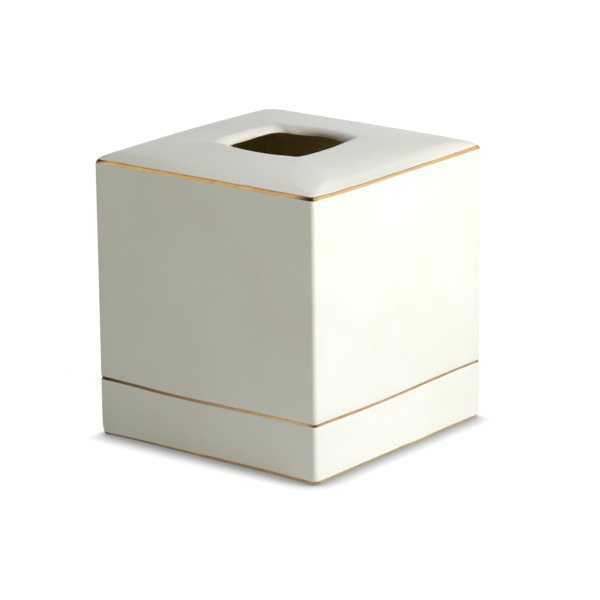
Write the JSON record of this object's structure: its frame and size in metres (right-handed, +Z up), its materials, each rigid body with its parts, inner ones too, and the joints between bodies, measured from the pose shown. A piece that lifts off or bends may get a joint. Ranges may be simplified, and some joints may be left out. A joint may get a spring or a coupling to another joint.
{
  "type": "tissue box cover",
  "caption": "Square porcelain cover for an upright tissue box: straight walls with fine gold lines, softly crowned top and a rolled, rounded-square opening.",
  "frame": {"origin": "centre of the footprint, on the surface the cover stands on", "axes": "+Z up through the dispensing opening, +X and +Y square to the walls; the picture sees the -Y wall on the left and the +X wall on the right"},
  "size_m": [0.133, 0.133, 0.1439],
  "materials": {
    "porcelain_glaze": "smooth glossy ivory glaze over cast porcelain",
    "gold_lustre": "hand-painted bright gold lustre, slightly soft"
  },
  "bodies": {
    "root": {"cover_shell": "porcelain_glaze", "top_edge_gold_band": "gold_lustre", "plinth_gold_band": "gold_lustre", "foot_gold_band": "gold_lustre"}
  },
  "joints": []
}
